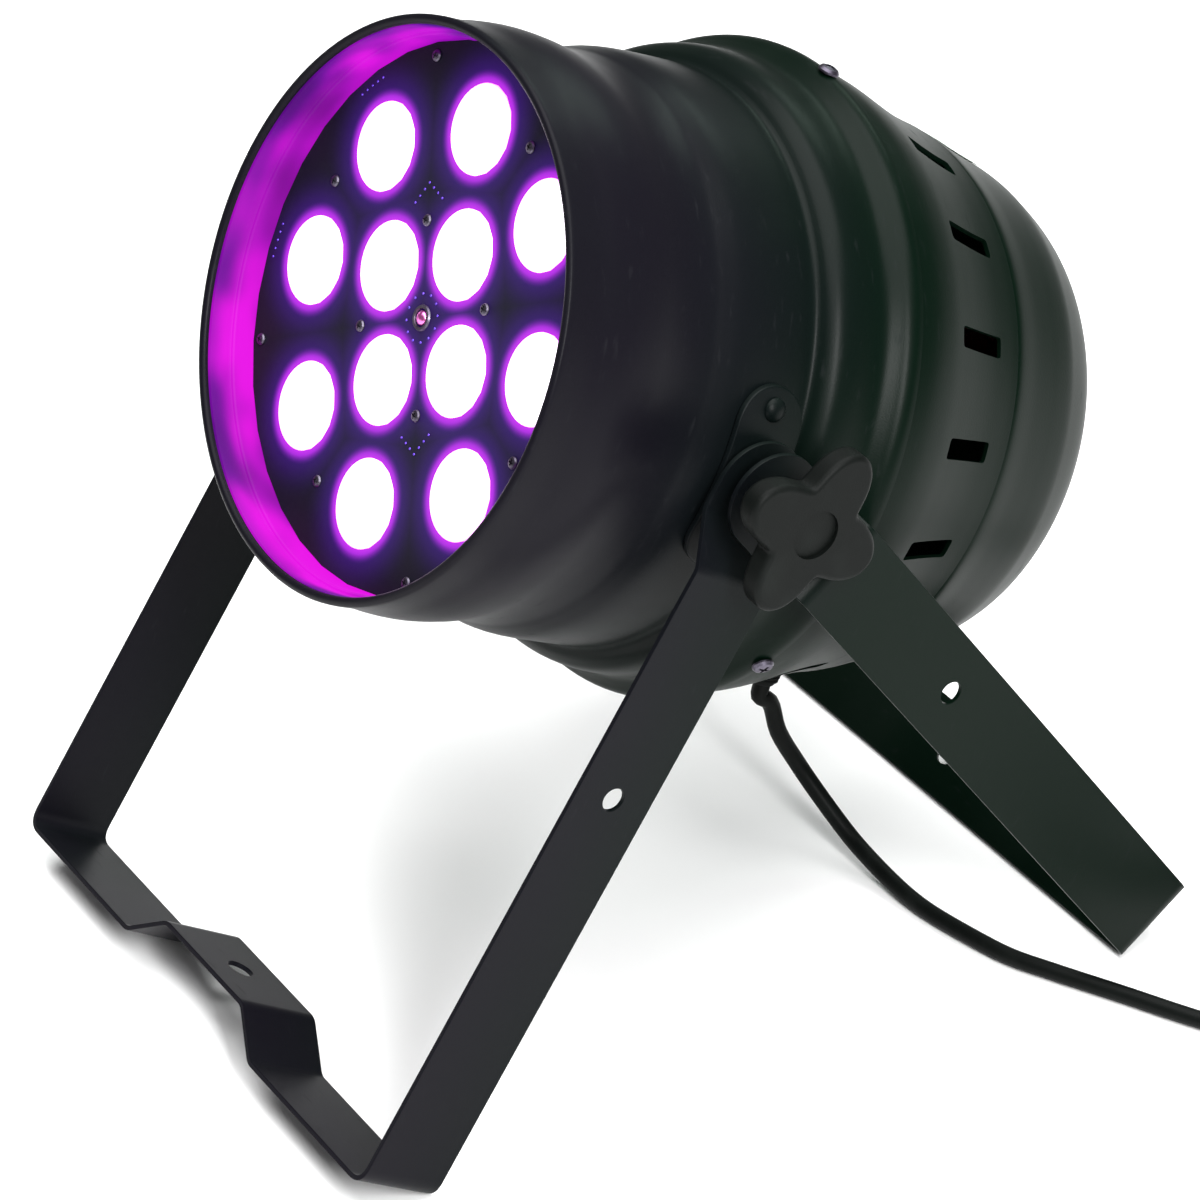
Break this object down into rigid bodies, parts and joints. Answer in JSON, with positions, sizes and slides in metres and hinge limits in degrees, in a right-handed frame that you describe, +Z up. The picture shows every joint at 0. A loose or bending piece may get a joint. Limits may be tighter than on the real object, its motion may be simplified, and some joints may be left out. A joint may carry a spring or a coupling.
{
  "type": "par can light",
  "caption": "Short black par can stage light with a round LED lens panel, on a folding double bracket with clamp knobs, with its mains cord and plug.",
  "frame": {"origin": "on the floor, under the middle of the light without its cord", "axes": "+Z up, -Y the way the lens panel faces (tipped upwards), +X along the pivot axis, towards the side the cord lies on"},
  "size_m": [0.4212, 0.522, 0.3959],
  "materials": {
    "black_paint": "satin powder coat, fine texture",
    "panel_black": "matte printed board",
    "clear_lens": "clear moulded acrylic",
    "board_green": "circuit board",
    "bare_aluminium": "mill finish",
    "smoked_window": "smoked display window",
    "label_white": "blank paper label",
    "socket_metal": "nickel plated",
    "zinc_steel": "zinc plated",
    "black_plastic": "moulded, lightly grained",
    "cord_rubber": "flexible rubber sheath"
  },
  "bodies": {
    "can": {"front_shell": "black_paint", "front_sleeve": "black_paint", "led_panel": "panel_black", "lens_01": "clear_lens", "lens_02": "clear_lens", "lens_03": "clear_lens", "lens_04": "clear_lens", "lens_05": "clear_lens", "lens_06": "clear_lens", "lens_07": "clear_lens", "lens_08": "clear_lens", "lens_09": "clear_lens", "lens_10": "clear_lens", "lens_11": "clear_lens", "lens_12": "clear_lens", "sensor_dome": "clear_lens", "led_board": "board_green", "heat_sink": "bare_aluminium", "power_supply": "bare_aluminium", "rear_drum": "black_paint", "rear_cap": "black_paint", "rear_plate": "black_paint", "display": "smoked_window", "dmx_input": "socket_metal", "dmx_output": "socket_metal", "rating_label": "label_white", "cable_gland": "black_plastic", "flange_screw_1": "zinc_steel", "flange_screw_2": "zinc_steel", "flange_screw_3": "zinc_steel", "near_rivet_upper": "black_paint", "near_rivet_lower": "black_paint", "far_rivet_upper": "black_paint", "far_rivet_lower": "black_paint", "near_mount_plate": "black_paint", "near_pivot_stud": "zinc_steel", "near_inner_washer": "zinc_steel", "near_spacer": "black_plastic", "far_mount_plate": "black_paint", "far_pivot_stud": "zinc_steel", "far_inner_washer": "zinc_steel", "far_spacer": "black_plastic", "power_cord": "cord_rubber", "power_cord_coil": "cord_rubber", "power_cord_tail": "cord_rubber", "mains_plug": "cord_rubber"},
    "front_bracket": {"front_bracket": "black_paint"},
    "rear_bracket": {"rear_bracket": "black_paint"},
    "near_outer_washer": {"near_outer_washer": "zinc_steel"},
    "near_knob": {"near_knob": "black_plastic"},
    "far_outer_washer": {"far_outer_washer": "zinc_steel"},
    "far_knob": {"far_knob": "black_plastic"},
    "menu_button_1": {"menu_button_1": "black_plastic"},
    "menu_button_2": {"menu_button_2": "black_plastic"},
    "menu_button_3": {"menu_button_3": "black_plastic"},
    "menu_button_4": {"menu_button_4": "black_plastic"}
  },
  "joints": [
    {"name": "front_bracket_swing", "type": "hinge", "parent": "can", "child": "front_bracket", "pos_m": [0, -0.01768, 0.25816], "axis": [1, 0, 0], "range_deg": [-110, 45]},
    {"name": "rear_bracket_swing", "type": "hinge", "parent": "can", "child": "rear_bracket", "pos_m": [0, -0.01768, 0.25816], "axis": [1, 0, 0], "range_deg": [-3, 130]},
    {"name": "near_knob_travel", "type": "slide", "parent": "can", "child": "near_outer_washer", "axis": [1, 0, 0], "range_m": [0, 0.0026]},
    {"name": "near_knob_turn", "type": "hinge", "parent": "near_outer_washer", "child": "near_knob", "pos_m": [0.132, -0.01768, 0.25816], "axis": [1, 0, 0], "range_deg": [0, 720]},
    {"name": "far_knob_travel", "type": "slide", "parent": "can", "child": "far_outer_washer", "axis": [-1, 0, 0], "range_m": [0, 0.0026]},
    {"name": "far_knob_turn", "type": "hinge", "parent": "far_outer_washer", "child": "far_knob", "pos_m": [-0.132, -0.01768, 0.25816], "axis": [-1, 0, 0], "range_deg": [0, 720]},
    {"name": "menu_button_1_press", "type": "slide", "parent": "can", "child": "menu_button_1", "axis": [0, -0.9114, 0.4115], "range_m": [0, 0.0015], "stiffness_N_per_m": 400, "springref_m": -0.001},
    {"name": "menu_button_2_press", "type": "slide", "parent": "can", "child": "menu_button_2", "axis": [0, -0.9114, 0.4115], "range_m": [0, 0.0015], "stiffness_N_per_m": 400, "springref_m": -0.001},
    {"name": "menu_button_3_press", "type": "slide", "parent": "can", "child": "menu_button_3", "axis": [0, -0.9114, 0.4115], "range_m": [0, 0.0015], "stiffness_N_per_m": 400, "springref_m": -0.001},
    {"name": "menu_button_4_press", "type": "slide", "parent": "can", "child": "menu_button_4", "axis": [0, -0.9114, 0.4115], "range_m": [0, 0.0015], "stiffness_N_per_m": 400, "springref_m": -0.001}
  ],
  "couplings": [
    {"joint": "near_knob_travel", "follows": "near_knob_turn", "m_per_rad": 0.00019894},
    {"joint": "far_knob_travel", "follows": "far_knob_turn", "m_per_rad": 0.00019894}
  ]
}
